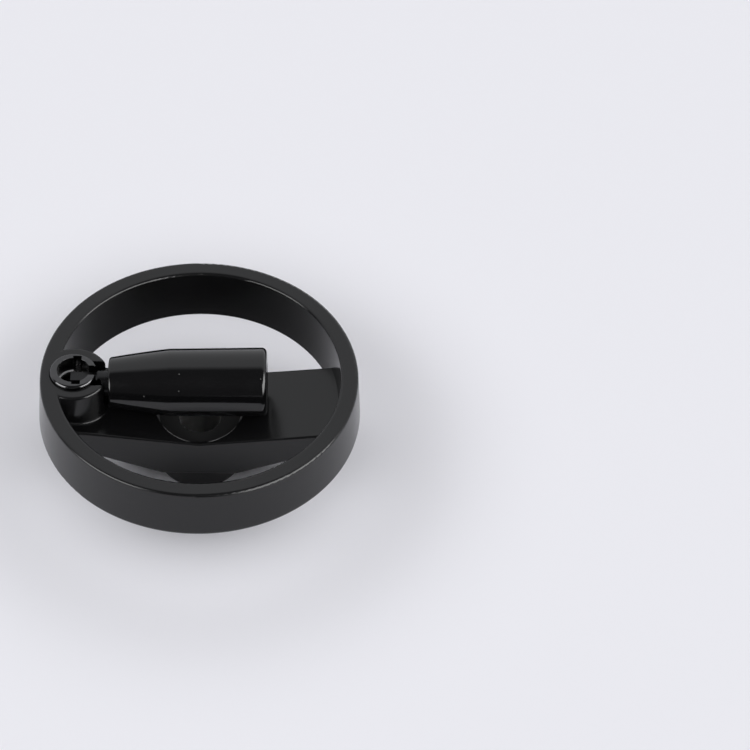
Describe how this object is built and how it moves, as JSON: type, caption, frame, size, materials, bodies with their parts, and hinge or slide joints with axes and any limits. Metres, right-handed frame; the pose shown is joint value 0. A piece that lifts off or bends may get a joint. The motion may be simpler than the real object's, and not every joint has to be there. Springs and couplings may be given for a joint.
{
  "type": "machine handwheel",
  "caption": "Black two-armed machine handwheel with a shaft bore in its hub and a revolving handle that folds down inside the rim.",
  "frame": {"origin": "middle of the hub's lower face, on the shaft bore's axis; the part stands on this face", "axes": "+Z along the shaft bore to the handle's side; +X from the handle's boss through the hub"},
  "size_m": [0.1248, 0.1248, 0.0571],
  "materials": {
    "cast_coat": "satin",
    "blackened_steel": "satin",
    "spindle_steel": "satin",
    "bright_steel": "satin",
    "spring_steel": "satin",
    "grip_plastic": "gloss",
    "cap_plastic": "satin"
  },
  "bodies": {
    "wheel": {"handwheel_casting": "cast_coat", "pivot_sleeve": "blackened_steel", "pivot_pin": "bright_steel", "sleeve_plug": "blackened_steel", "detent_spring": "spring_steel"},
    "plunger": {"detent_plunger": "bright_steel"},
    "spindle": {"spindle": "spindle_steel", "thrust_washer": "bright_steel", "retaining_ring": "spring_steel"},
    "grip": {"grip": "grip_plastic", "grip_end_cap": "cap_plastic"}
  },
  "joints": [
    {"name": "handle_fold", "type": "hinge", "parent": "wheel", "child": "spindle", "pos_m": [-0.0472, 0, 0.0419], "axis": [0, -1, 0], "range_deg": [0, 88.5]},
    {"name": "grip_spin", "type": "hinge", "parent": "spindle", "child": "grip", "pos_m": [-0.0347, 0, 0.04223], "axis": [0.9997, 0, 0.0262], "continuous": true},
    {"name": "detent_press", "type": "slide", "parent": "wheel", "child": "plunger", "axis": [0, 0, -1], "range_m": [0, 0.001], "stiffness_N_per_m": 4000, "springref_m": -0.001, "deforming": ["detent_spring"]}
  ]
}
